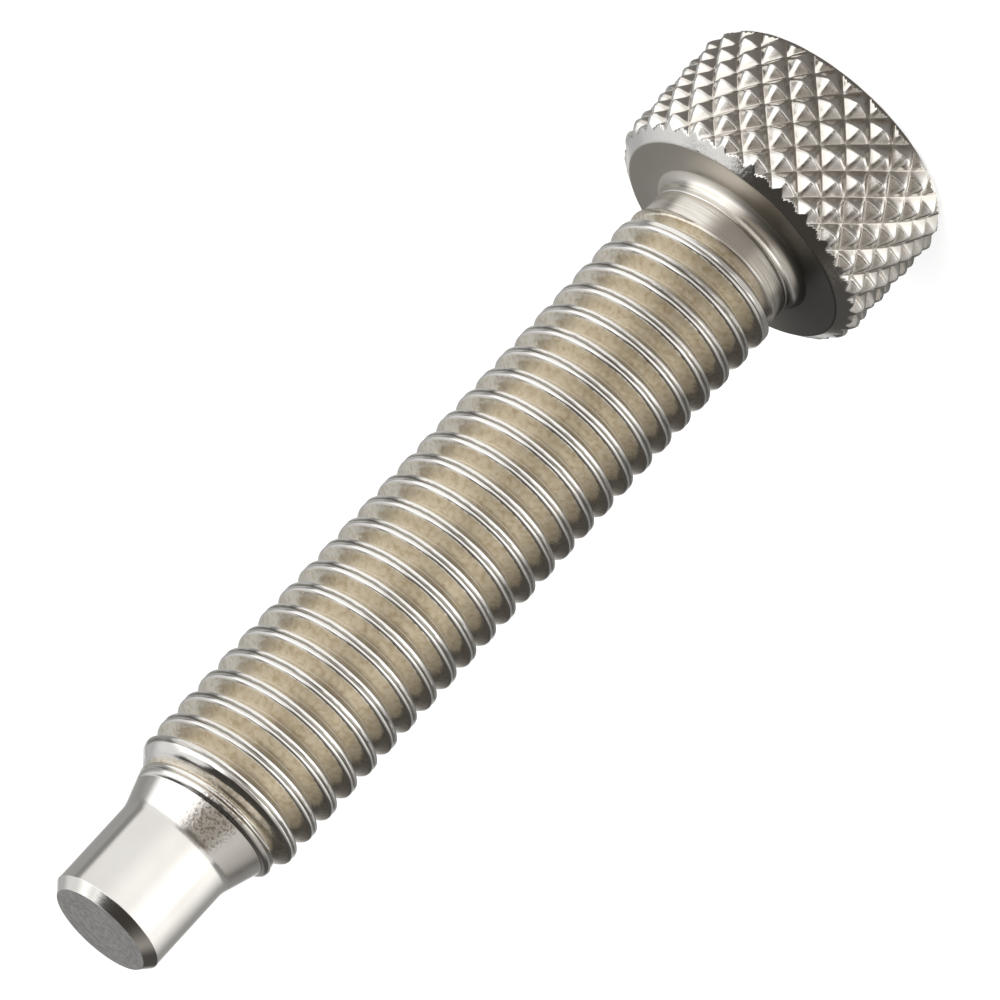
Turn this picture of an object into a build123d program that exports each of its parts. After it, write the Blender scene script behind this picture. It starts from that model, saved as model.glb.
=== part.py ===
from build123d import *
from math import ceil, cos, degrees, atan, pi, radians, tan
import os

# A knurled thumb screw with a plain dog point, turned and rolled from one bar.
# It stands on the flat top of its head, point up, with the origin in the middle of that
# face. Sizes are in millimetres and angles in degrees.

# Head
head_diameter = 10.0
head_height = 5.0
head_top_chamfer = 0.37
head_seat_chamfer = 0.7

# Diamond knurl: as many right-hand grooves as left-hand ones around the head
knurl_count = 25
knurl_helix_angle = 45.0
knurl_groove_angle = 90.0
knurl_depth = 0.3
knurl_right_start = 10.7
knurl_left_start = 9.4

# Neck, left as thick as the blank that the thread was rolled on
neck_step = 0.22
neck_length = 1.5
neck_root_width = 0.35
neck_root_height = 0.6

# Right-hand metric thread
thread_diameter = 5.94
thread_pitch = 1.0
thread_groove_angle = 60.0
thread_crest_width = 0.27
thread_end_angle = 45.0
thread_phase = 0.25

# Shank, and the flare that narrows it to the dog point. The point clears the thread's root,
# so that it passes through a tapped hole.
shank_length = 32.0
lead_in_step = 0.39
lead_in_angle = 35.0
lead_in_radius = 1.0
flare_angle = 18.0
flare_root_radius = 1.2
point_clearance = 0.27
point_length = 3.62
point_chamfer_width = 0.29
point_chamfer_height = 0.35

# How far the cutters reach past the metal that they cut, and how far off the neck the
# thread's groove starts
cut_margin = 0.15
run_out_gap = 0.05

# Radii, worked out from the sizes above
head_radius = head_diameter / 2
thread_radius = thread_diameter / 2
thread_mouth = thread_pitch - thread_crest_width
thread_depth = thread_mouth / 2 / tan(radians(thread_groove_angle / 2))
root_radius = thread_radius - thread_depth
neck_radius = thread_radius - neck_step
flare_radius = thread_radius - lead_in_step
point_radius = root_radius - point_clearance

# Heights, from the top of the head up to the end of the point
total_length = head_height + shank_length
neck_top = head_height + neck_length
thread_bottom = neck_top + neck_step / tan(radians(thread_end_angle))
flare_bottom = total_length - point_length
flare_top = flare_bottom - (flare_radius - point_radius) / tan(radians(flare_angle))
thread_top = flare_top - lead_in_step / tan(radians(lead_in_angle))


def v_groove(path, depth, opening_angle):
    """Sweep a V along a path. Its point runs on the path and its mouth faces outward."""
    start = path @ 0
    outward = Vector(start.X, start.Y, 0)
    reach = depth + cut_margin
    half_mouth = reach * tan(radians(opening_angle / 2))
    with BuildPart() as groove:
        with BuildSketch(Plane(origin=start, x_dir=outward, z_dir=path % 0)):
            with BuildLine():
                Polyline((0, 0), (reach, half_mouth), (reach, -half_mouth), close=True)
            make_face()
        sweep(path=path, is_frenet=True)
    return groove.part


def knurl_groove(start_angle, lefthand):
    """One knurl groove, which meets the top of the head at the start angle."""
    lead = pi * head_diameter / tan(radians(knurl_helix_angle))
    reach = knurl_depth + cut_margin
    with BuildLine() as path:
        Helix(
            lead,
            head_height + 2 * reach,
            head_radius - knurl_depth,
            center=(0, 0, -reach),
            lefthand=lefthand,
        )
    groove = v_groove(path.line, knurl_depth, knurl_groove_angle)
    turn_below_top = 360 * reach / lead
    if lefthand:
        turn_below_top = -turn_below_top
    return groove.rotate(Axis.Z, start_angle - turn_below_top)


def thread_groove():
    """The thread's groove, turn by turn. It sinks in from the neck over its first turn."""
    rise = neck_radius + run_out_gap - root_radius
    run_out_angle = degrees(atan(rise / thread_pitch))
    first_turn = thread_bottom + thread_phase
    turns = ceil((flare_bottom - first_turn) / thread_pitch)
    with BuildLine() as path:
        Helix(
            thread_pitch / cos(radians(run_out_angle)),
            thread_pitch,
            root_radius + rise,
            center=(0, 0, first_turn - thread_pitch),
            cone_angle=-run_out_angle,
        )
        for turn in range(turns):
            base = (0, 0, first_turn + turn * thread_pitch)
            Helix(thread_pitch, thread_pitch, root_radius, center=base)
    return v_groove(path.wire(), thread_depth, thread_groove_angle)


right_hand_groove = knurl_groove(knurl_right_start, lefthand=False)
left_hand_groove = knurl_groove(knurl_left_start, lefthand=True)
threading_cut = thread_groove()

with BuildPart() as screw:
    # Head blank
    with BuildSketch(Plane.XZ):
        with BuildLine():
            Polyline(
                (0, 0),
                (head_radius - head_top_chamfer, 0),
                (head_radius, head_top_chamfer),
                (head_radius, head_height - head_seat_chamfer),
                (head_radius - head_seat_chamfer, head_height),
                (0, head_height),
                close=True,
            )
        make_face()
    revolve(axis=Axis.Z)

    # Knurl
    with PolarLocations(0, knurl_count):
        add(right_hand_groove, mode=Mode.SUBTRACT)
        add(left_hand_groove, mode=Mode.SUBTRACT)

    # Neck, thread blank, lead-in, flare and dog point
    with BuildSketch(Plane.XZ):
        with BuildLine():
            root_top = (neck_radius, head_height + neck_root_height)
            root_bottom = (neck_radius + neck_root_width, head_height)
            point_shoulder = (point_radius, total_length - point_chamfer_height)
            TangentArc(root_top, root_bottom, tangent=(0, -1))
            FilletPolyline(
                root_top,
                (neck_radius, neck_top),
                (thread_radius, thread_bottom),
                (thread_radius, thread_top),
                (flare_radius, flare_top),
                (point_radius, flare_bottom),
                point_shoulder,
                radius=[0, 0, lead_in_radius, 0, flare_root_radius],
            )
            Polyline(
                point_shoulder,
                (point_radius - point_chamfer_width, total_length),
                (0, total_length),
                (0, head_height),
                root_bottom,
            )
        make_face()
    revolve(axis=Axis.Z)

    # Thread
    add(threading_cut, mode=Mode.SUBTRACT)

screw.part.label = "screw"

os.makedirs("parts", exist_ok=True)
export_step(screw.part, "parts/screw.step")
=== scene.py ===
from math import atan2, cos, pi, radians, sin, tan
from types import SimpleNamespace

import bpy
import numpy as np
from mathutils import Matrix, Vector


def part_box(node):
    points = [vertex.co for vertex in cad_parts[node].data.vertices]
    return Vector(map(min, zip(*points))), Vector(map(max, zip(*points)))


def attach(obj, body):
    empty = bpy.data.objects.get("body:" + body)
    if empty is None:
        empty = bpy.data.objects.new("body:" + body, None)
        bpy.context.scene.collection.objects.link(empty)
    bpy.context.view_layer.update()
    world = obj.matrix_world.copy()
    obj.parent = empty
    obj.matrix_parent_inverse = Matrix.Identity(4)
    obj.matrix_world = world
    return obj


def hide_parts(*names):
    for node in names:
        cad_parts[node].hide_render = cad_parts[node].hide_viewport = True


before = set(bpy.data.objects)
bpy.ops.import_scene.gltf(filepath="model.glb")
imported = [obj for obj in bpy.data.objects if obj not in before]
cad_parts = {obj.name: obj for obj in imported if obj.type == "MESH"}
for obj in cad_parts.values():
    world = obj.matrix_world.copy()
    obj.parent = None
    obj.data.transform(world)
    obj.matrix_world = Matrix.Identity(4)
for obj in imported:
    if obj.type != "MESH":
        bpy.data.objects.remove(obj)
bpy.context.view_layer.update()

# The screw stands on the flat top of its head, point up, as in the CAD model. Sizes are in
# millimetres here and turn into metres when the mesh is made.
MM = 0.001
low_corner, high_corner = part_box("screw")
total_length = (high_corner.z - low_corner.z) / MM
head_diameter = 10.0
head_height = 5.0
head_top_chamfer = 0.37
head_seat_chamfer = 0.7
head_seat_slope = 1.35
head_radius = head_diameter / 2

# Diamond knurl
knurl_count = 25
knurl_depth = 0.35
knurl_flank_slope = 0.9
knurl_right_start = radians(10.7)
knurl_left_start = radians(9.4)
knurl_bottom_round = 0.03
knurl_land_round = 0.16
knurl_hip_round = 0.17
knurl_crown = 0.012
knurl_period = 2 * pi * head_radius / knurl_count * sin(pi / 4)
dimple_depth = 0.012
dimple_radius = 0.05

# Neck, with a fine turned line above its root. The line's places are heights above the root.
neck_step = 0.22
neck_length = 1.5
neck_root_width = 0.35
neck_root_height = 0.6
neck_line_depth = 0.025
neck_line_places = (0.01, 0.025, 0.05, 0.08)
neck_line_end = 0.1

# Thread. Its groove sinks in from the neck over the first turn.
thread_radius = 2.97
thread_pitch = 1.0
thread_crest_width = 0.27
thread_flank_angle = radians(30.0)
thread_phase = 0.25
run_out_gap = 0.05
run_out_power = 1.7
root_round = 0.02
root_lift = 0.35 * root_round
crest_round = 0.05
crest_widening = 0.045

# The rolled crest in section: two lips with a shallow fold between them. Places are measured
# from the crest's middle towards the head, and rises from the thread's full radius. The lips
# fade out where the blank lies below that radius by the fade or more.
crest_places = (-0.19, -0.055, -0.03, 0.035, 0.065, 0.19)
crest_rises = (0.0, 0.002, -0.018, -0.020, 0.003, -0.002)
crest_softness = 0.010
crest_fade = 0.15

# A slow unevenness along the lips: its size, and each wave's turns and start
lip_waviness = 0.004
lip_waves = ((3.7, 0), (8.3, 1), (17.1, 2))

# The last crest isn't full: only the lip beside its groove stands up from the flare
last_lip_height = 32.05
last_lip_reach = 0.44
last_lip_offset = -0.08
last_lip_width = 0.15
last_lip_rise = 0.16

# Flare and dog point
lead_in_step = 0.39
lead_in_angle = radians(42.0)
lead_in_radius = 0.5
flare_angle = radians(18.0)
flare_root_radius = 1.2
point_clearance = 0.27
point_length = 3.62
point_chamfer_width = 0.29
point_chamfer_height = 0.35
end_face_rim = 0.06

# Sizes and heights that follow from those above. The point keeps the CAD model's radius, which
# comes from a thread without the widening of the crest.
thread_mouth = thread_pitch - thread_crest_width - crest_widening
thread_depth = thread_mouth / 2 / tan(thread_flank_angle)
root_radius = thread_radius - thread_depth
cad_root_radius = thread_radius - (thread_pitch - thread_crest_width) / 2 / tan(thread_flank_angle)
neck_radius = thread_radius - neck_step
flare_radius = thread_radius - lead_in_step
point_radius = cad_root_radius - point_clearance
neck_top = head_height + neck_length
thread_bottom = neck_top + neck_step
first_turn = thread_bottom + thread_phase
flare_bottom = total_length - point_length
flare_top = flare_bottom - (flare_radius - point_radius) / tan(flare_angle)
thread_top = flare_top - lead_in_step / tan(lead_in_angle)

# Mesh fineness. The knurl's lattice has this many lines in each groove's period. They lie at
# these shares of it, from a groove's bottom to the middle of a land, and evenly near both rims.
knurl_lines = 14
knurl_line_places = (0, 0.035, 0.13, 0.225, 0.295, 0.335, 0.385, 0.5)
lattice_margin = 0.1
lattice_fade = 0.3
shank_columns = 96
edge_round = 0.03
root_arc_points = 12

# Rows of the thread's mesh in one turn, measured from the crest's middle towards the head
thread_rows = (
    0.487, 0.33, 0.2, 0.172, 0.148, 0.125, 0.105, 0.085, 0.025,
    -0.035, -0.055, -0.075, -0.105, -0.14, -0.172, -0.2, -0.33, -0.487, -0.5,
)

# Flat faces are closed by rings, each a number of points and a share of the face's radius
head_top_rings = ((175, 0.93), (84, 0.8), (36, 0.45), (12, 0.15))
end_face_rings = ((72, 0.8), (36, 0.45), (12, 0.15))

# The threaded stretch of the mesh ends a little off the first turn and inside the flare. Turned
# rings this close to it are left out. The seat has rings at its rim and outside the neck's root.
thread_low = first_turn - thread_pitch - 0.05
thread_high = flare_bottom - 0.6
ring_gap = 0.02
seat_rim = head_radius - head_seat_chamfer - 0.05
seat_middle = 3.7


def smooth_max(a, b, width):
    """The larger of two fields, rounded only where they differ by less than the width."""
    near = np.maximum(width - np.abs(a - b), 0) / width
    return np.maximum(a, b) + near**2 * width / 4


def smooth_min(a, b, width):
    return -smooth_max(-a, -b, width)


def rounded_outline(points, radii, step_angle=radians(9)):
    """A polyline through points with its inner corners rounded, as rows of radius and height."""
    points = [np.array(p, float) for p in points]
    out = [points[0]]
    for before, corner, after, radius in zip(points, points[1:], points[2:], radii):
        inward = (before - corner) / np.linalg.norm(before - corner)
        outward = (after - corner) / np.linalg.norm(after - corner)
        half = np.arccos(np.clip(inward @ outward, -1, 1)) / 2
        bisector = (inward + outward) / np.linalg.norm(inward + outward)
        centre = corner + bisector * radius / sin(half)
        start = corner + inward * radius / tan(half)
        bend = pi - 2 * half
        side = np.sign(inward[0] * outward[1] - inward[1] * outward[0])
        spoke = start - centre
        steps = max(2, int(bend / step_angle))
        for k in range(steps + 1):
            angle = -side * bend * k / steps
            c, s = cos(angle), sin(angle)
            out.append(centre + np.array([c * spoke[0] - s * spoke[1], s * spoke[0] + c * spoke[1]]))
    out.append(points[-1])
    return np.array(out)


def neck_root_arc():
    """The hollow under the head: an arc that leaves the neck straight and meets the seat at a slope."""
    arc = (neck_root_width**2 + neck_root_height**2) / (2 * neck_root_width)
    sweep = atan2(neck_root_height, arc - neck_root_width)
    angles = np.linspace(sweep, 0, root_arc_points)
    radii = neck_radius + arc - arc * np.cos(angles)
    heights = head_height + neck_root_height - arc * np.sin(angles)
    return np.stack([radii, heights], -1)


def blank_outline():
    """The turned shank before its thread is rolled, from the head's seat to the end face."""
    root_top = head_height + neck_root_height
    line_depths = (0, neck_line_depth, neck_line_depth, 0)
    turned_line = [
        (neck_radius - depth, root_top + place) for depth, place in zip(line_depths, neck_line_places)
    ]
    body = rounded_outline(
        [
            (neck_radius, root_top + neck_line_end),
            (neck_radius, neck_top),
            (thread_radius, thread_bottom),
            (thread_radius, thread_top),
            (flare_radius, flare_top),
            (point_radius, flare_bottom),
            (point_radius, total_length - point_chamfer_height),
            (point_radius - point_chamfer_width, total_length),
            (point_radius - point_chamfer_width - end_face_rim, total_length),
        ],
        [edge_round, edge_round, lead_in_radius, edge_round, flare_root_radius, edge_round, edge_round],
    )
    return np.vstack([neck_root_arc(), turned_line, body])


class Skin:
    """Collects rings of points around the Z axis and the faces between them."""

    # Points that lie in the same cell of this size, in millimetres, are one point
    merge_cell = 1e-5

    def __init__(self):
        self.points = []
        self.normals = []
        self.faces = []
        self.count = 0

    def add_points(self, radius, angle, height, normal):
        """Adds points and returns their numbers. The normal is radial, tangential and axial."""
        radius, angle, height = np.broadcast_arrays(
            np.asarray(radius, float), np.asarray(angle, float), np.asarray(height, float)
        )
        c, s = np.cos(angle), np.sin(angle)
        points = np.stack([radius * c, radius * s, height], -1).reshape(-1, 3)
        n_r, n_t, n_z = (np.broadcast_to(n, radius.shape) for n in normal)
        normals = np.stack([n_r * c - n_t * s, n_r * s + n_t * c, n_z], -1).reshape(-1, 3)
        normals = normals / np.linalg.norm(normals, axis=1, keepdims=True)
        numbers = np.arange(self.count, self.count + len(points)).reshape(radius.shape)
        self.points.append(points)
        self.normals.append(normals)
        self.count += len(points)
        return numbers

    def quads(self, a, b, c, d):
        """Quads with corners a, b, c, d, counterclockwise as seen from outside."""
        self.faces += np.stack([a, b, c, d], -1).reshape(-1, 4).tolist()

    def zip_rings(self, lower, upper, angles_lower, angles_upper):
        """Triangles between two rings with different numbers of points, lower one first."""
        i = j = 0
        n, m = len(lower), len(upper)
        start = int(np.argmin(np.abs(np.angle(np.exp(1j * (angles_upper - angles_lower[0]))))))
        upper = np.roll(upper, -start)
        angles_upper = np.roll(angles_upper, -start)
        unwrapped_low = np.unwrap(np.append(angles_lower, angles_lower[0] + 2 * pi))
        unwrapped_up = np.unwrap(np.append(angles_upper, angles_upper[0] + 2 * pi))
        unwrapped_up += 2 * pi * round((unwrapped_low[0] - unwrapped_up[0]) / (2 * pi))
        while i < n or j < m:
            if j == m or (i < n and unwrapped_low[i + 1] < unwrapped_up[j + 1]):
                self.faces.append([int(lower[i]), int(lower[(i + 1) % n]), int(upper[j % m])])
                i += 1
            else:
                self.faces.append([int(lower[i % n]), int(upper[(j + 1) % m]), int(upper[j])])
                j += 1

    def cap(self, ring, angles, height, facing, inner_rings):
        """Closes a ring with a flat face in its plane. Facing is 1 up or -1 down."""
        radius = float(np.linalg.norm(self.point(ring[0])[:2]))
        last, last_angles = ring, angles
        for count, share in inner_rings:
            inner_angles = 2 * pi * np.arange(count) / count
            inner = self.add_points(radius * share, inner_angles, height, (0, 0, facing))
            if facing > 0:
                self.zip_rings(last, inner, last_angles, inner_angles)
            else:
                self.zip_rings(inner, last, inner_angles, last_angles)
            last, last_angles = inner, inner_angles
        centre = int(self.add_points([0.0], [0.0], [height], (0, 0, facing))[0])
        for here, following in zip(last.tolist(), np.roll(last, -1).tolist()):
            self.faces.append([here, following, centre] if facing > 0 else [following, here, centre])

    def point(self, number):
        """The point with this number."""
        for block in self.points:
            if number < len(block):
                return block[number]
            number -= len(block)

    def build(self, name):
        """The Blender object. Points that fell together are merged, and empty faces dropped."""
        points = np.vstack(self.points)
        normals = np.vstack(self.normals)
        keys = np.round(points / self.merge_cell).astype(np.int64)
        _, first, index = np.unique(keys, axis=0, return_index=True, return_inverse=True)
        index = index.reshape(-1)
        merged = points[first] * MM
        merged_normals = normals[first]
        faces = []
        for face in self.faces:
            corners = [int(index[c]) for c in face]
            kept = [c for k, c in enumerate(corners) if c != corners[k - 1]]
            if len(set(kept)) >= 3 and len(set(kept)) == len(kept):
                faces.append(kept)
        mesh = bpy.data.meshes.new(name)
        mesh.from_pydata(merged.tolist(), [], faces)
        mesh.validate()
        mesh.polygons.foreach_set("use_smooth", [True] * len(mesh.polygons))
        mesh.normals_split_custom_set_from_vertices(merged_normals.tolist())
        mesh.update()
        piece = bpy.data.objects.new(name, mesh)
        bpy.context.scene.collection.objects.link(piece)
        return piece


def field_normal(radius_at, angle, height, step=0.004):
    """Radial, tangential and axial parts of the normal of a surface given as a radius."""
    radius = radius_at(angle, height)
    aside = step / radius
    slope_angle = (radius_at(angle + aside, height) - radius_at(angle - aside, height)) / (2 * aside)
    slope_height = (radius_at(angle, height + step) - radius_at(angle, height - step)) / (2 * step)
    return np.ones_like(radius), -slope_angle / radius, -slope_height


def head_blank(height):
    """Radius of the head before its knurl, with both chamfers."""
    top = head_radius - head_top_chamfer + height
    seat = head_radius - head_seat_chamfer + (head_height - height) * head_seat_slope
    side = smooth_min(np.full_like(height, head_radius), top, edge_round)
    return smooth_min(side, seat, edge_round)


def groove_phase(angle, height, hand):
    """Position across one family of knurl grooves, in periods, with a groove at each whole number."""
    start = knurl_right_start if hand > 0 else knurl_left_start
    turn_at_top = angle - start - hand * height / head_radius
    return turn_at_top * knurl_count / (2 * pi)


def knurl_radius(angle, height):
    """Radius of the knurled head."""
    cuts = []
    lands = []
    for hand in (1, -1):
        phase = groove_phase(angle, height, hand)
        across = (phase - np.round(phase)) * knurl_period
        rounded = np.sqrt(across**2 + knurl_bottom_round**2) - knurl_bottom_round / 2
        cuts.append(knurl_depth - rounded * knurl_flank_slope)
        lands.append(knurl_period / 2 - np.abs(across))
    cut = smooth_max(cuts[0], cuts[1], knurl_hip_round)
    cut = smooth_max(cut, np.zeros_like(cut), knurl_land_round)
    from_centre = np.hypot(lands[0], lands[1])
    crown = knurl_crown * np.minimum(from_centre / (knurl_period / 2), 1) ** 2
    dimple = dimple_depth * np.exp(-((from_centre / dimple_radius) ** 2))
    tool = head_radius - cut - crown - dimple
    return smooth_min(tool, head_blank(height), edge_round / 2)


def line_spread(phase):
    """Moves the knurl lattice's lines closer to the edges of the lands and the groove bottoms."""
    whole = np.round(phase)
    part = phase - whole
    steps = knurl_lines // 2
    even = np.arange(steps + 1) / (2 * steps)
    return whole + np.sign(part) * np.interp(np.abs(part), even, knurl_line_places)


def add_head(skin):
    """The knurled side of the head. Its mesh lines run along the grooves of both families."""
    columns = 2 * knurl_count * knurl_lines
    row_step = 2 * pi * head_radius / columns
    shift_angle = (knurl_right_start + knurl_left_start) / 2
    shift_height = head_radius * (knurl_left_start - knurl_right_start) / 2
    first = int(np.ceil((0 - shift_height) / row_step))
    last = int(np.floor((head_height - shift_height) / row_step))
    rings = []
    angles = []
    for row in range(first, last + 1):
        height = shift_height + row * row_step
        if row == first:
            height = 0.0
        if row == last:
            height = head_height
        index = np.arange(row % 2, columns, 2)
        angle = shift_angle + 2 * pi * index / columns
        level = np.full(len(angle), height)
        if first + 1 < row < last - 1:
            from_rim = min(height - lattice_margin, head_height - lattice_margin - height)
            fade = np.clip(from_rim / lattice_fade, 0, 1)
            right = groove_phase(angle, level, 1)
            left = groove_phase(angle, level, -1)
            move_right = (line_spread(right) - right) * fade
            move_left = (line_spread(left) - left) * fade
            angle = angle + (move_right + move_left) / 2 * 2 * pi / knurl_count
            level = level + (move_left - move_right) / 2 * 2 * pi / knurl_count * head_radius
        normal = field_normal(knurl_radius, angle, level)
        rings.append(skin.add_points(knurl_radius(angle, level), angle, level, normal))
        angles.append(angle)
    for row in range(len(rings) - 2):
        below, middle, above = rings[row], rings[row + 1], rings[row + 2]
        parity = (row + first) % 2
        right_of = middle if parity == 0 else np.roll(middle, -1)
        left_of = np.roll(middle, 1) if parity == 0 else middle
        skin.quads(below, right_of, above, left_of)

    # Triangles fill the teeth that the lattice leaves along both rims
    for rim, inside, parity, is_low in (
        (rings[0], rings[1], first % 2, True),
        (rings[-1], rings[-2], last % 2, False),
    ):
        between = inside if parity == 0 else np.roll(inside, -1)
        after = np.roll(rim, -1)
        for a, b, c in zip(rim.tolist(), after.tolist(), between.tolist()):
            skin.faces.append([a, b, c] if is_low else [a, c, b])
    return rings[0], angles[0], rings[-1], angles[-1]


def hump(x):
    """1 at 0 and exactly 0 from 1 on, flat on top."""
    return np.clip(1 - x**4, 0, 1) ** 2


def crest_section(place):
    """Rise of the rolled crest over the thread's radius, with its corners softened."""
    shifts = (-crest_softness, 0, crest_softness)
    return sum(np.interp(place + shift, crest_places, crest_rises) for shift in shifts) / 3


def lip_wave(turn):
    """The unevenness along the lips, between about -1 and 1. Turn counts along the thread."""
    return sum(np.sin(2 * pi * waves * turn + start) for waves, start in lip_waves) / 2


def thread_radius_field(blank):
    """The threaded shank's radius as a function of angle and height."""
    flank_slope = 1 / tan(thread_flank_angle)
    rise = neck_radius + run_out_gap - root_radius

    def groove_at(turn, from_first, share_of_turn):
        across = (from_first - turn) * thread_pitch
        rounded = np.sqrt(across**2 + root_round**2) - root_lift
        lift = np.maximum(-(turn + share_of_turn), 0) ** run_out_power * rise
        return root_radius + lift + rounded * flank_slope

    def radius_at(angle, height):
        share_of_turn = angle / (2 * pi)
        from_first = (height - first_turn) / thread_pitch - share_of_turn
        below = np.floor(from_first)
        groove = np.minimum(
            groove_at(below, from_first, share_of_turn), groove_at(below + 1, from_first, share_of_turn)
        )
        to_head = (0.5 - (from_first - below)) * thread_pitch
        body = np.interp(height, blank[:, 1], blank[:, 0])
        at_full = np.clip(1 - (thread_radius - body) / crest_fade, 0, 1)
        wave = lip_wave(below + share_of_turn)
        section = crest_section(to_head + lip_waviness * wave) + lip_waviness * wave
        near_lip = hump((height + to_head - last_lip_height) / last_lip_reach)
        lip = last_lip_rise * hump((to_head + last_lip_offset) / last_lip_width)
        body = body + section * at_full + lip * near_lip
        return smooth_min(groove, body, crest_round)

    return radius_at


def add_thread(skin, blank):
    """The threaded stretch. Its mesh lines follow the helix and stop at two level rings."""
    across = -np.array(thread_rows)
    rows = len(across)
    crest_base = first_turn + thread_pitch / 2
    first = int(np.floor(thread_low - crest_base)) - 2
    last = int(np.ceil(thread_high - crest_base))
    heights = np.concatenate([crest_base + (t + across) * thread_pitch for t in range(first, last + 1)])
    angle = 2 * pi * np.arange(shank_columns) / shank_columns
    level = heights[None, :] + thread_pitch * angle[:, None] / (2 * pi)
    level = np.clip(level, thread_low, thread_high)
    around = np.broadcast_to(angle[:, None], level.shape)
    radius_at = thread_radius_field(blank)
    normal = field_normal(radius_at, around, level)
    grid = skin.add_points(radius_at(around, level), around, level, normal)

    # The last column meets the first one a turn further up
    following = np.vstack([grid[1:], np.roll(grid[:1], -rows, axis=1)])
    lower = slice(0, grid.shape[1] - rows - 1)
    upper = slice(1, grid.shape[1] - rows)
    skin.quads(grid[:, lower], following[:, lower], following[:, upper], grid[:, upper])


def add_turned(skin, outline):
    """A stretch that is plain all round, one ring for each point of its outline."""
    angle = 2 * pi * np.arange(shank_columns) / shank_columns
    along = np.gradient(outline, axis=0)
    normal_r, normal_z = along[:, 1], -along[:, 0]
    rings = []
    for (radius, height), n_r, n_z in zip(outline, normal_r, normal_z):
        rings.append(skin.add_points(radius, angle, height, (n_r, 0, n_z)))
    for lower, upper in zip(rings, rings[1:]):
        skin.quads(lower, np.roll(lower, -1), np.roll(upper, -1), upper)
    return rings[0], rings[-1], angle


def build_screw():
    """The whole screw as one closed mesh, from the top of the head up to the end face."""
    skin = Skin()
    blank = blank_outline()
    top_ring, top_angles, seat_ring, seat_angles = add_head(skin)
    skin.cap(top_ring, top_angles, 0.0, -1, head_top_rings)

    seat = [[seat_rim, head_height], [seat_middle, head_height]]
    below_thread = blank[blank[:, 1] < thread_low - ring_gap]
    above_thread = blank[blank[:, 1] > thread_high + ring_gap]
    thread_start = [[neck_radius, thread_low]]
    thread_end = [[np.interp(thread_high, blank[:, 1], blank[:, 0]), thread_high]]
    neck_ring, _, angle = add_turned(skin, np.vstack([seat, below_thread, thread_start]))
    add_thread(skin, blank)
    _, end_ring, _ = add_turned(skin, np.vstack([thread_end, above_thread]))
    skin.zip_rings(seat_ring, neck_ring, seat_angles, angle)
    skin.cap(end_ring, angle, total_length, 1, end_face_rings)
    return skin.build("knurled_screw")


def direction(azimuth, elevation):
    """A unit vector. Azimuth 0 is the camera's side and grows towards the screw's lower right."""
    a, e = radians(azimuth), radians(elevation)
    return (-sin(a) * cos(e), -cos(a) * cos(e), sin(e))


def new_material(name):
    material = bpy.data.materials.new(name)
    material.use_nodes = True
    return material, material.node_tree, material.node_tree.nodes["Principled BSDF"]


def math_node(tree, operation, first, second=None):
    """A Math node. Its inputs are sockets or numbers."""
    node = tree.nodes.new("ShaderNodeMath")
    node.operation = operation
    for socket, value in zip(node.inputs, (first, second)):
        if isinstance(value, (int, float)):
            socket.default_value = value
        elif value is not None:
            tree.links.new(value, socket)
    return node.outputs[0]


def times(tree, first, second):
    return math_node(tree, "MULTIPLY", first, second)


def weighted_sum(tree, start, pairs):
    """A start value plus each socket times its amount, which is a number or a socket."""
    total = start
    for socket, amount in pairs:
        total = math_node(tree, "ADD", times(tree, socket, amount), total)
    return total


def smooth_step(tree, value, low, high):
    """0 at low and 1 at high, with a soft passage between. Low may be the larger number."""
    node = tree.nodes.new("ShaderNodeMapRange")
    node.interpolation_type = "SMOOTHSTEP"
    node.inputs["From Min"].default_value = low
    node.inputs["From Max"].default_value = high
    tree.links.new(value, node.inputs["Value"])
    return node.outputs["Result"]


def window(tree, value, edges):
    """1 between the two middle edges, falling softly to 0 at the outer ones."""
    rise = smooth_step(tree, value, edges[0], edges[1])
    fall = smooth_step(tree, value, edges[3], edges[2])
    return times(tree, rise, fall)


def mix_colour(tree, factor, first, second):
    """A mix of two colours, each a socket or a red, green and blue triple."""
    node = tree.nodes.new("ShaderNodeMix")
    node.data_type = "RGBA"
    tree.links.new(factor, node.inputs["Factor"])
    for socket, value in ((node.inputs[6], first), (node.inputs[7], second)):
        if isinstance(value, tuple):
            socket.default_value = (*value, 1)
        else:
            tree.links.new(value, socket)
    return node.outputs[2]


def noise(tree, vector, scale, detail=2.0, stretch=(1, 1, 1)):
    """Noise between about 0.3 and 0.7, with features of 1 / scale millimetres."""
    place = tree.nodes.new("ShaderNodeVectorMath")
    place.operation = "MULTIPLY"
    place.inputs[1].default_value = stretch
    tree.links.new(vector, place.inputs[0])
    node = tree.nodes.new("ShaderNodeTexNoise")
    node.inputs["Scale"].default_value = scale
    node.inputs["Detail"].default_value = detail
    tree.links.new(place.outputs[0], node.inputs["Vector"])
    return node.outputs["Fac"]


def separate(tree, vector):
    """The X, Y and Z outputs of a vector."""
    node = tree.nodes.new("ShaderNodeSeparateXYZ")
    tree.links.new(vector, node.inputs[0])
    return node.outputs


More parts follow.
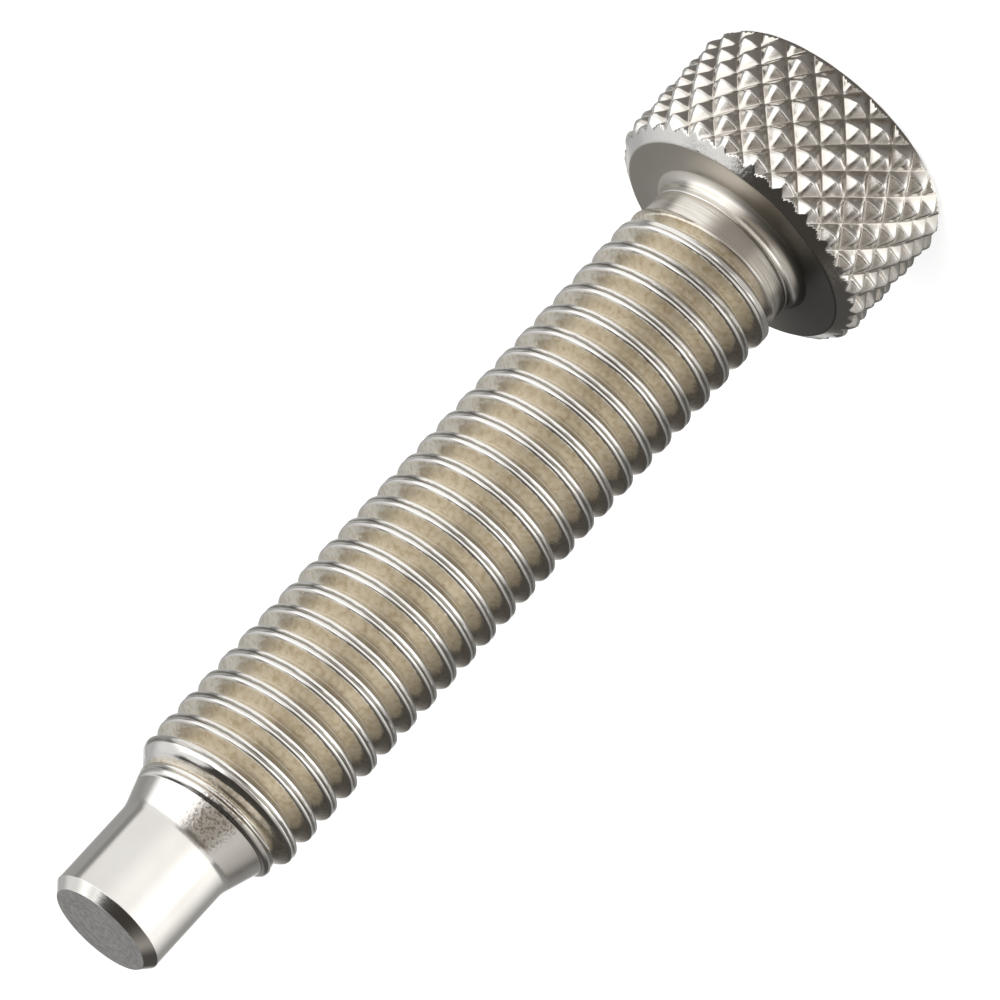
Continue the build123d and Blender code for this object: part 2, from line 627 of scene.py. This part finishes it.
# Zones of the plated surface. Four numbers are the places between which a zone comes and goes,
# and two are the place where it is 0 and the place where it is 1. The crest falls to the flare
# between two heights, from one radius to another.
thread_heights = (neck_top - 0.1, neck_top + 0.15, 32.0, 32.3)
full_thread_heights = (thread_bottom + 0.5, thread_bottom + 1.0, thread_top - 0.2, thread_top + 0.3)
crest_fall_heights = (thread_top - 0.15, flare_top + 0.1)
crest_fall_radii = (thread_radius, flare_radius - 0.05)
groove_depths = (0.03, 0.1)
root_depths = (0.46, 0.60)
fold_places = (-0.065, -0.03, 0.035, 0.07)
head_facing = (-0.2, -0.5)
head_heights = (head_height + 0.02, head_height - 0.05)
knurl_heights = (head_height - 0.45, head_height - 0.7)
knurl_radii = (head_radius - 0.12, head_radius - 0.30)
seat_heights = (head_height - 0.03, head_height - 0.01, head_height + 0.12, head_height + 0.3)
seat_radii = (2.8, 2.9, 4.28, 4.34)
neck_heights = (head_height + 0.1, head_height + 0.3, neck_top - 0.05, neck_top + 0.15)
flare_heights = (thread_top + 0.2, flare_top, flare_bottom - 0.3, flare_bottom + 0.1)
point_heights = (flare_bottom + 0.1, flare_bottom + 0.4)
end_face_heights = (total_length - 0.012, total_length - 0.004)

# How far the painted shade of the fold wanders along the crest, and the fineness of that
fold_wander = 0.07
fold_wander_scale = 3.5

# Sides of the screw: a worn side of the flare, and one side each of the neck and the seat with
# painted shade. Each is an azimuth, and the cosines of the angle from it at which the side is 0
# and 1. The least radius keeps the axis itself out of a division by zero.
worn_flare_side = (7, 0.90, 0.985)
painted_neck_shade_side = (2, 0.90, 0.985)
painted_seat_shade_side = (75, -0.1, 0.98)
least_radius = 0.01

# Where the noises turn from one colour to the next
cloud_range = (0.35, 0.68)
stain_range = (0.46, 0.66)
streak_range = (0.38, 0.62)
speck_range = (0.48, 0.62)
mottle_range = (0.80, 1.20)

# Colours of the plate, some of them painted shade
clean_colour = (0.80, 0.785, 0.76)
cloud_colour = (0.77, 0.75, 0.72)
groove_colour = (0.75, 0.70, 0.605)
stain_colour = (0.635, 0.565, 0.45)
root_colour = (0.72, 0.665, 0.57)
# Painted shade in the crest's fold
painted_fold_shade_colour = (0.30, 0.283, 0.25)
# Painted shade in the knurl's grooves
painted_knurl_groove_shade_colour = (0.66, 0.625, 0.58)
streak_colour = (0.62, 0.575, 0.51)
# Painted shade on one side of the neck
painted_neck_shade_colour = (0.54, 0.50, 0.45)
seat_colour = (0.60, 0.565, 0.51)
# Painted shade on one side of the seat
painted_seat_shade_colour = (0.115, 0.112, 0.105)
end_face_colour = (0.82, 0.81, 0.795)
mottle_colour = (0.60, 0.595, 0.585)
speck_colour = (0.42, 0.37, 0.32)

# Roughness of the plate, and what each zone adds to it
base_roughness = 0.05
cloud_roughness = 0.16
groove_roughness = 0.09
root_roughness = 0.10
head_flank_roughness = 0.30
seat_roughness = 0.27
end_face_roughness = 0.28
neck_roughness = 0.07
flare_roughness = 0.05
knurl_groove_roughness = 0.04

# Depths of the fine relief, in millimetres
grain_depth = 0.0012
flare_grain_depth = 0.0015
worn_grain_depth = 0.009
neck_mark_depth = 0.0028
point_mark_depth = 0.0008
pit_depth = 0.006
ring_depth = 0.006
scratch_depth = 0.002


def metal_place(tree):
    """Sockets for a point of the metal: its place in millimetres and how far it faces up."""
    source = tree.nodes.new("ShaderNodeTexCoord")
    scaled = tree.nodes.new("ShaderNodeVectorMath")
    scaled.operation = "SCALE"
    scaled.inputs["Scale"].default_value = 1 / MM
    tree.links.new(source.outputs["Object"], scaled.inputs[0])
    parts = separate(tree, scaled.outputs[0])
    x_squared = math_node(tree, "POWER", parts["X"], 2.0)
    y_squared = math_node(tree, "POWER", parts["Y"], 2.0)
    return SimpleNamespace(
        point=scaled.outputs[0],
        x=parts["X"],
        y=parts["Y"],
        height=parts["Z"],
        radius=math_node(tree, "SQRT", math_node(tree, "ADD", x_squared, y_squared)),
        facing_up=separate(tree, source.outputs["Normal"])["Z"],
    )


def side_share(tree, metal, side):
    """1 on one side of the screw, 0 on the other. The side is an azimuth and two cosines."""
    azimuth, low, high = side
    towards = direction(azimuth, 0)
    along = math_node(tree, "ADD", times(tree, metal.x, towards[0]), times(tree, metal.y, towards[1]))
    cosine = math_node(tree, "DIVIDE", along, math_node(tree, "MAXIMUM", metal.radius, least_radius))
    return smooth_step(tree, cosine, low, high)


def plate_noises(tree, metal):
    """Noises at three scales, turning marks and rings around the axis, and scratches."""
    around = tree.nodes.new("ShaderNodeCombineXYZ")
    tree.links.new(metal.radius, around.inputs[0])
    return SimpleNamespace(
        cloud=noise(tree, metal.point, scale=0.55, detail=3.0),
        grain=noise(tree, metal.point, scale=11.0, detail=3.0),
        pits=noise(tree, metal.point, scale=5.5),
        turned=noise(tree, metal.point, scale=1.0, detail=3.0, stretch=(0.5, 0.5, 14.0)),
        rings=noise(tree, around.outputs[0], scale=9.0),
        scratch=noise(tree, metal.point, scale=2.0, stretch=(0.4, 9.0, 1.6)),
    )


def groove_masks(tree, metal):
    """The thread's groove and its root, by their depth below the crest."""
    crest = tree.nodes.new("ShaderNodeMapRange")
    crest.inputs["From Min"].default_value = crest_fall_heights[0]
    crest.inputs["From Max"].default_value = crest_fall_heights[1]
    crest.inputs["To Min"].default_value = crest_fall_radii[0]
    crest.inputs["To Max"].default_value = crest_fall_radii[1]
    tree.links.new(metal.height, crest.inputs["Value"])
    below_crest = math_node(tree, "SUBTRACT", crest.outputs["Result"], metal.radius)
    on_thread = window(tree, metal.height, thread_heights)
    groove = times(tree, smooth_step(tree, below_crest, *groove_depths), on_thread)
    root = times(tree, smooth_step(tree, below_crest, *root_depths), on_thread)
    return groove, root


def painted_fold_shade_mask(tree, metal, groove):
    """Painted shade along the fold in the middle of the rolled crest, which follows the helix."""
    share_of_turn = math_node(tree, "DIVIDE", math_node(tree, "ARCTAN2", metal.y, metal.x), 2 * pi)
    above_first = math_node(tree, "SUBTRACT", metal.height, first_turn)
    from_first = math_node(tree, "SUBTRACT", above_first, share_of_turn)
    to_head = math_node(tree, "SUBTRACT", 0.5, math_node(tree, "FRACT", from_first))
    wander = math_node(tree, "SUBTRACT", noise(tree, metal.point, fold_wander_scale), 0.5)
    to_head = math_node(tree, "ADD", to_head, times(tree, wander, fold_wander))
    on_crest = math_node(tree, "SUBTRACT", 1.0, groove)
    fold = times(tree, window(tree, to_head, fold_places), on_crest)
    return times(tree, fold, window(tree, metal.height, full_thread_heights))


def plate_zones(tree, metal):
    """Masks of the surface's zones, each 1 inside its zone."""
    groove, root = groove_masks(tree, metal)
    head = smooth_step(tree, metal.height, *head_heights)
    knurl_groove = times(tree, smooth_step(tree, metal.radius, *knurl_radii), head)
    seat = times(
        tree, window(tree, metal.height, seat_heights), window(tree, metal.radius, seat_radii)
    )
    neck = window(tree, metal.height, neck_heights)
    flare = window(tree, metal.height, flare_heights)
    return SimpleNamespace(
        groove=groove,
        root=root,
        fold=painted_fold_shade_mask(tree, metal, groove),
        head_flank=times(tree, smooth_step(tree, metal.facing_up, *head_facing), groove),
        head=head,
        knurl_groove=times(tree, knurl_groove, smooth_step(tree, metal.height, *knurl_heights)),
        seat=seat,
        # painted shade on the seat's side towards azimuth 75
        painted_seat_shade=times(tree, seat, side_share(tree, metal, painted_seat_shade_side)),
        neck=neck,
        # painted shade on the neck's side towards azimuth 2
        painted_neck_shade=times(tree, neck, side_share(tree, metal, painted_neck_shade_side)),
        flare=flare,
        worn_flare=times(tree, flare, side_share(tree, metal, worn_flare_side)),
        point=smooth_step(tree, metal.height, *point_heights),
        end_face=smooth_step(tree, metal.height, *end_face_heights),
    )


def plate_colour(tree, zones, noises):
    """Clean plate, with each zone's colour laid over it."""
    mottle = math_node(tree, "ADD", noises.pits, noises.rings)
    layers = (
        (zones.groove, groove_colour),
        (times(tree, zones.groove, smooth_step(tree, noises.pits, *stain_range)), stain_colour),
        (zones.root, root_colour),
        # painted shade along the crest's fold
        (zones.fold, painted_fold_shade_colour),
        # painted shade in the knurl's grooves
        (zones.knurl_groove, painted_knurl_groove_shade_colour),
        (times(tree, zones.neck, smooth_step(tree, noises.turned, *streak_range)), streak_colour),
        # painted shade on one side of the neck
        (zones.painted_neck_shade, painted_neck_shade_colour),
        (zones.seat, seat_colour),
        # painted shade on one side of the seat
        (zones.painted_seat_shade, painted_seat_shade_colour),
        (zones.end_face, end_face_colour),
        (times(tree, zones.end_face, smooth_step(tree, mottle, *mottle_range)), mottle_colour),
        (times(tree, zones.worn_flare, smooth_step(tree, noises.grain, *speck_range)), speck_colour),
    )
    clouded = smooth_step(tree, noises.cloud, *cloud_range)
    colour = mix_colour(tree, clouded, clean_colour, cloud_colour)
    for mask, layer_colour in layers:
        colour = mix_colour(tree, mask, colour, layer_colour)
    return colour


def plate_roughness(tree, zones, noises):
    """A base roughness, plus the cloudy noise and what each zone adds."""
    amounts = (
        (noises.cloud, cloud_roughness),
        (zones.groove, groove_roughness),
        (zones.root, root_roughness),
        (zones.head_flank, head_flank_roughness),
        (zones.seat, seat_roughness),
        (zones.end_face, end_face_roughness),
        (zones.neck, neck_roughness),
        (zones.flare, flare_roughness),
        (zones.knurl_groove, knurl_groove_roughness),
    )
    return weighted_sum(tree, base_roughness, amounts)


def plate_relief(tree, zones, noises):
    """A light grain all over, deeper on the worn flare, pits in the thread and on the head,
    turning marks on neck and point, rings on the end face and scratches on the head.
    """
    flare_grains = ((zones.flare, flare_grain_depth), (zones.worn_flare, worn_grain_depth))
    turned_marks = ((zones.neck, neck_mark_depth), (zones.point, point_mark_depth))
    pitted = ((zones.groove, pit_depth), (zones.head, pit_depth))
    depths = (
        (noises.grain, weighted_sum(tree, grain_depth, flare_grains)),
        (noises.turned, weighted_sum(tree, 0.0, turned_marks)),
        (noises.pits, weighted_sum(tree, 0.0, pitted)),
        (noises.rings, times(tree, zones.end_face, ring_depth)),
        (noises.scratch, times(tree, zones.head, scratch_depth)),
    )
    return weighted_sum(tree, 0.0, depths)


def nickel():
    """Bright nickel plate, duller and warmer in the grooves, satin on the seat and the end face, with
    painted shade in the knurl's grooves, along the crest's fold and on one side each of the neck and
    the seat.
    """
    material, tree, shader = new_material("nickel_plate")
    shader.inputs["Metallic"].default_value = 1.0
    metal = metal_place(tree)
    zones = plate_zones(tree, metal)
    noises = plate_noises(tree, metal)
    tree.links.new(plate_colour(tree, zones, noises), shader.inputs["Base Color"])
    tree.links.new(plate_roughness(tree, zones, noises), shader.inputs["Roughness"])
    bump = tree.nodes.new("ShaderNodeBump")
    bump.inputs["Strength"].default_value = 1.0
    bump.inputs["Distance"].default_value = MM
    tree.links.new(plate_relief(tree, zones, noises), bump.inputs["Height"])
    tree.links.new(bump.outputs["Normal"], shader.inputs["Normal"])
    return material


# What the metal mirrors. Each soft patch has a name, four azimuths and four elevations between
# which it comes and goes, and a colour. On the floor, distances in millimetres take the place
# of elevations. Later patches cover earlier ones.
sky_base = (0.055, 0.050, 0.045)
sky_patches = [
    ("back", (150, 172, 192, 215), (-12, 0, 28, 52), (0.29, 0.285, 0.275)),
    ("right_back", (100, 135, 150, 172), (-12, 0, 34, 56), (0.08, 0.076, 0.072)),
    ("right", (30, 58, 100, 128), (-12, -2, 36, 58), (0.34, 0.32, 0.292)),
    ("right_low", (28, 44, 58, 128), (-8, 2, 16, 34), (0.68, 0.66, 0.63)),
    ("front", (-40, -20, 30, 52), (-12, 0, 22, 52), (0.48, 0.445, 0.40)),
    ("front_low", (-46, -26, 34, 54), (-14, -8, 8, 15), (0.17, 0.153, 0.135)),
    ("left_back", (-188, -165, -118, -95), (-12, 4, 30, 48), (0.50, 0.505, 0.51)),
    ("left_glow", (-172, -155, -138, -122), (12, 22, 30, 42), (0.66, 0.665, 0.67)),
    ("left_high", (-145, -128, -100, -90), (8, 22, 44, 56), (0.86, 0.86, 0.86)),
    ("softbox", (-112, -90, -30, -2), (-8, -2, 50, 58), (1.58, 1.58, 1.57)),
    ("softbox_top", (-125, -106, -76, -56), (40, 50, 66, 76), (0.95, 0.95, 0.94)),
]
# The floor glows with these patches in the metal's reflections only: painted reflections, with painted
# shadow near the screw under the head, in front and, by the dark base, close by at the right back.
painted_floor_reflection_base = (0.10, 0.096, 0.087)
painted_floor_reflection_patches = [
    ("left_back", (-200, -178, -122, -98), (0, 1, 5000, 6000), (0.42, 0.417, 0.405)),
    ("far_left_back", (-200, -178, -122, -98), (60, 95, 5000, 6000), (0.25, 0.247, 0.24)),
    ("far_back", (95, 115, 160, 185), (60, 95, 5000, 6000), (0.22, 0.215, 0.205)),
    ("front", (-106, -86, 60, 100), (0, 1, 5000, 6000), (1.12, 1.105, 1.075)),
    ("far_left", (-100, -86, -50, -5), (60, 95, 5000, 6000), (0.86, 0.85, 0.83)),
    ("far_right", (55, 72, 84, 138), (60, 95, 5000, 6000), (1.22, 1.205, 1.17)),
    ("strip", (6, 44, 58, 78), (0, 1, 5000, 6000), (1.6, 1.59, 1.56)),
    # Painted shadow of the head on the floor in front
    ("painted_shadow_near_front", (-50, -14, 26, 52), (0, 1, 19, 29), (0.27, 0.245, 0.215)),
    ("near_right", (22, 42, 84, 104), (8, 11, 18, 30), (0.50, 0.475, 0.43)),
    # Painted shadow on the floor under the head
    ("painted_shadow_under_head", (-178, -160, 18, 48), (0, 1, 7.5, 10.5), (0.10, 0.086, 0.072)),
    ("behind_left", (-205, -192, -168, -156), (20, 40, 5000, 6000), (0.80, 0.80, 0.80)),
    ("dark_line", (-117, -110, -103, -97), (15, 60, 300, 400), (0.13, 0.125, 0.12)),
    ("left_horizon", (-105, -88, -30, -10), (120, 210, 5000, 6000), (0.92, 0.915, 0.90)),
    ("front_horizon", (-30, -14, 28, 44), (120, 210, 5000, 6000), (0.30, 0.285, 0.26)),
    ("strip_horizon", (28, 44, 58, 74), (120, 210, 5000, 6000), (0.78, 0.77, 0.74)),
    ("right_horizon", (58, 74, 160, 185), (120, 210, 5000, 6000), (0.18, 0.175, 0.165)),
]
white = (1.0, 1.0, 1.0)


def degrees_around(tree, vector, middle):
    """Azimuth of a vector in degrees, measured from the middle one, from -180 to 180."""
    parts = []
    for azimuth in (middle + 90, middle):
        dot = tree.nodes.new("ShaderNodeVectorMath")
        dot.operation = "DOT_PRODUCT"
        dot.inputs[1].default_value = direction(azimuth, 0)
        tree.links.new(vector, dot.inputs[0])
        parts.append(dot.outputs["Value"])
    angle = math_node(tree, "ARCTAN2", parts[0], parts[1])
    return math_node(tree, "DEGREES", angle)


def patched_colour(tree, vector, level, base, patches):
    """A colour socket: the base with soft patches laid over it, by azimuth and by level.

    A patch that runs over the back, past 180 degrees, is measured from there.
    """
    colour = base
    from_front = degrees_around(tree, vector, 0)
    from_back = degrees_around(tree, vector, 180)
    for name, azimuths, levels, patch_colour in patches:
        around, shift = from_front, 0
        if azimuths[3] > 180:
            around, shift = from_back, -180
        if azimuths[0] < -180:
            around, shift = from_back, 180
        shifted = [azimuth + shift for azimuth in azimuths]
        inside = times(tree, window(tree, around, shifted), window(tree, level, levels))
        inside.node.label = name
        colour = mix_colour(tree, inside, colour, patch_colour)
    return colour


# The floor's plain look, and how much of what the camera and the metal see of it is glow
floor_half_width = 3.0
floor_grey = 0.9
floor_roughness = 0.9
camera_glow = 0.75
mirror_glow = 0.92


def floor_material():
    """White floor for the camera. For the metal it glows with painted reflections and painted shadows
    near the screw, and it keeps the object's shadow.
    """
    material, tree, shader = new_material("studio_floor")
    shader.inputs["Base Color"].default_value = (floor_grey, floor_grey, floor_grey, 1)
    shader.inputs["Roughness"].default_value = floor_roughness
    shader.inputs["Specular IOR Level"].default_value = 0.0
    place = tree.nodes.new("ShaderNodeNewGeometry").outputs["Position"]
    distance = tree.nodes.new("ShaderNodeVectorMath")
    distance.operation = "LENGTH"
    tree.links.new(place, distance.inputs[0])
    millimetres = math_node(tree, "DIVIDE", distance.outputs["Value"], MM)
    mirrored = patched_colour(tree, place, millimetres, painted_floor_reflection_base, painted_floor_reflection_patches)
    path = tree.nodes.new("ShaderNodeLightPath")
    glow = tree.nodes.new("ShaderNodeEmission")
    tree.links.new(
        mix_colour(tree, path.outputs["Is Camera Ray"], mirrored, white), glow.inputs["Color"]
    )
    glow.inputs["Strength"].default_value = 1.0
    camera_share = times(tree, path.outputs["Is Camera Ray"], camera_glow)
    glossy_share = times(tree, path.outputs["Is Glossy Ray"], mirror_glow)
    mix = tree.nodes.new("ShaderNodeMixShader")
    tree.links.new(math_node(tree, "MAXIMUM", camera_share, glossy_share), mix.inputs[0])
    tree.links.new(shader.outputs[0], mix.inputs[1])
    tree.links.new(glow.outputs[0], mix.inputs[2])
    tree.links.new(mix.outputs[0], tree.nodes["Material Output"].inputs["Surface"])
    return material


def add_floor():
    mesh = bpy.data.meshes.new("floor")
    half = floor_half_width
    corners = [(-half, -half, 0), (half, -half, 0), (half, half, 0), (-half, half, 0)]
    mesh.from_pydata(corners, [], [(0, 1, 2, 3)])
    floor = bpy.data.objects.new("floor", mesh)
    mesh.materials.append(floor_material())
    bpy.context.scene.collection.objects.link(floor)


def build_world():
    """What the metal mirrors from above the floor, and a white background for the camera."""
    world = bpy.data.worlds.new("studio")
    bpy.context.scene.world = world
    world.use_nodes = True
    tree = world.node_tree
    towards = tree.nodes.new("ShaderNodeTexCoord").outputs["Generated"]
    sine = separate(tree, towards)["Z"]
    elevation = math_node(tree, "DEGREES", math_node(tree, "ARCSINE", sine))
    mirrored = patched_colour(tree, towards, elevation, sky_base, sky_patches)
    path = tree.nodes.new("ShaderNodeLightPath")
    colour = mix_colour(tree, path.outputs["Is Camera Ray"], mirrored, white)
    tree.links.new(colour, tree.nodes["Background"].inputs["Color"])


# Lamps for the floor: a name, an azimuth and elevation in degrees, and a power in watts.
# Distance and size are in metres.
lamps = (("key_lamp", -50, 60, 6), ("fill_lamp", 120, 60, 3))
lamp_distance = 0.6
lamp_size = 0.5


def add_lamp(name, azimuth, elevation, power):
    """A soft lamp for the floor, aimed at the screw's middle. The metal doesn't mirror it."""
    data = bpy.data.lights.new(name, "AREA")
    data.shape = "DISK"
    data.size = lamp_size
    data.energy = power
    lamp = bpy.data.objects.new(name, data)
    aim = Vector((0, 0, total_length * MM / 2))
    lamp.location = aim + Vector(direction(azimuth, elevation)) * lamp_distance
    lamp.rotation_euler = (lamp.location - aim).to_track_quat("Z", "Y").to_euler()
    lamp.visible_glossy = False
    bpy.context.scene.collection.objects.link(lamp)


# The photograph's camera. In its frame X is right, Y is up and it looks along -Z, in
# millimetres. The screw's axis, from the point to the head, leans away from the camera by one
# angle and is turned in the picture by the other.
axis_lean = radians(21.355)
axis_turn = radians(47.53)
point_in_view = Vector((-12.5635, -13.4954, -305.63))
focal_length = 350.4
sensor_width = 36.0


def add_camera():
    axis = Vector((cos(axis_lean) * cos(axis_turn), cos(axis_lean) * sin(axis_turn), -sin(axis_lean)))
    across = axis.cross(Vector((0, 0, 1))).normalized()
    toward = across.cross(axis)
    screw_axes = Matrix((-across, -toward, -axis))
    origin = point_in_view + axis * total_length
    data = bpy.data.cameras.new("camera")
    data.lens = focal_length
    data.sensor_width = sensor_width
    data.clip_start = 0.01
    data.clip_end = 20
    camera = bpy.data.objects.new("camera", data)
    camera.matrix_world = screw_axes.to_4x4() @ Matrix.Translation(-origin * MM)
    bpy.context.scene.collection.objects.link(camera)
    bpy.context.scene.camera = camera


screw = build_screw()
screw.data.materials.append(nickel())
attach(screw, "root")
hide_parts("screw")

add_floor()
build_world()
for name, azimuth, elevation, power in lamps:
    add_lamp(name, azimuth, elevation, power)
add_camera()

bpy.context.scene.view_settings.view_transform = "Standard"
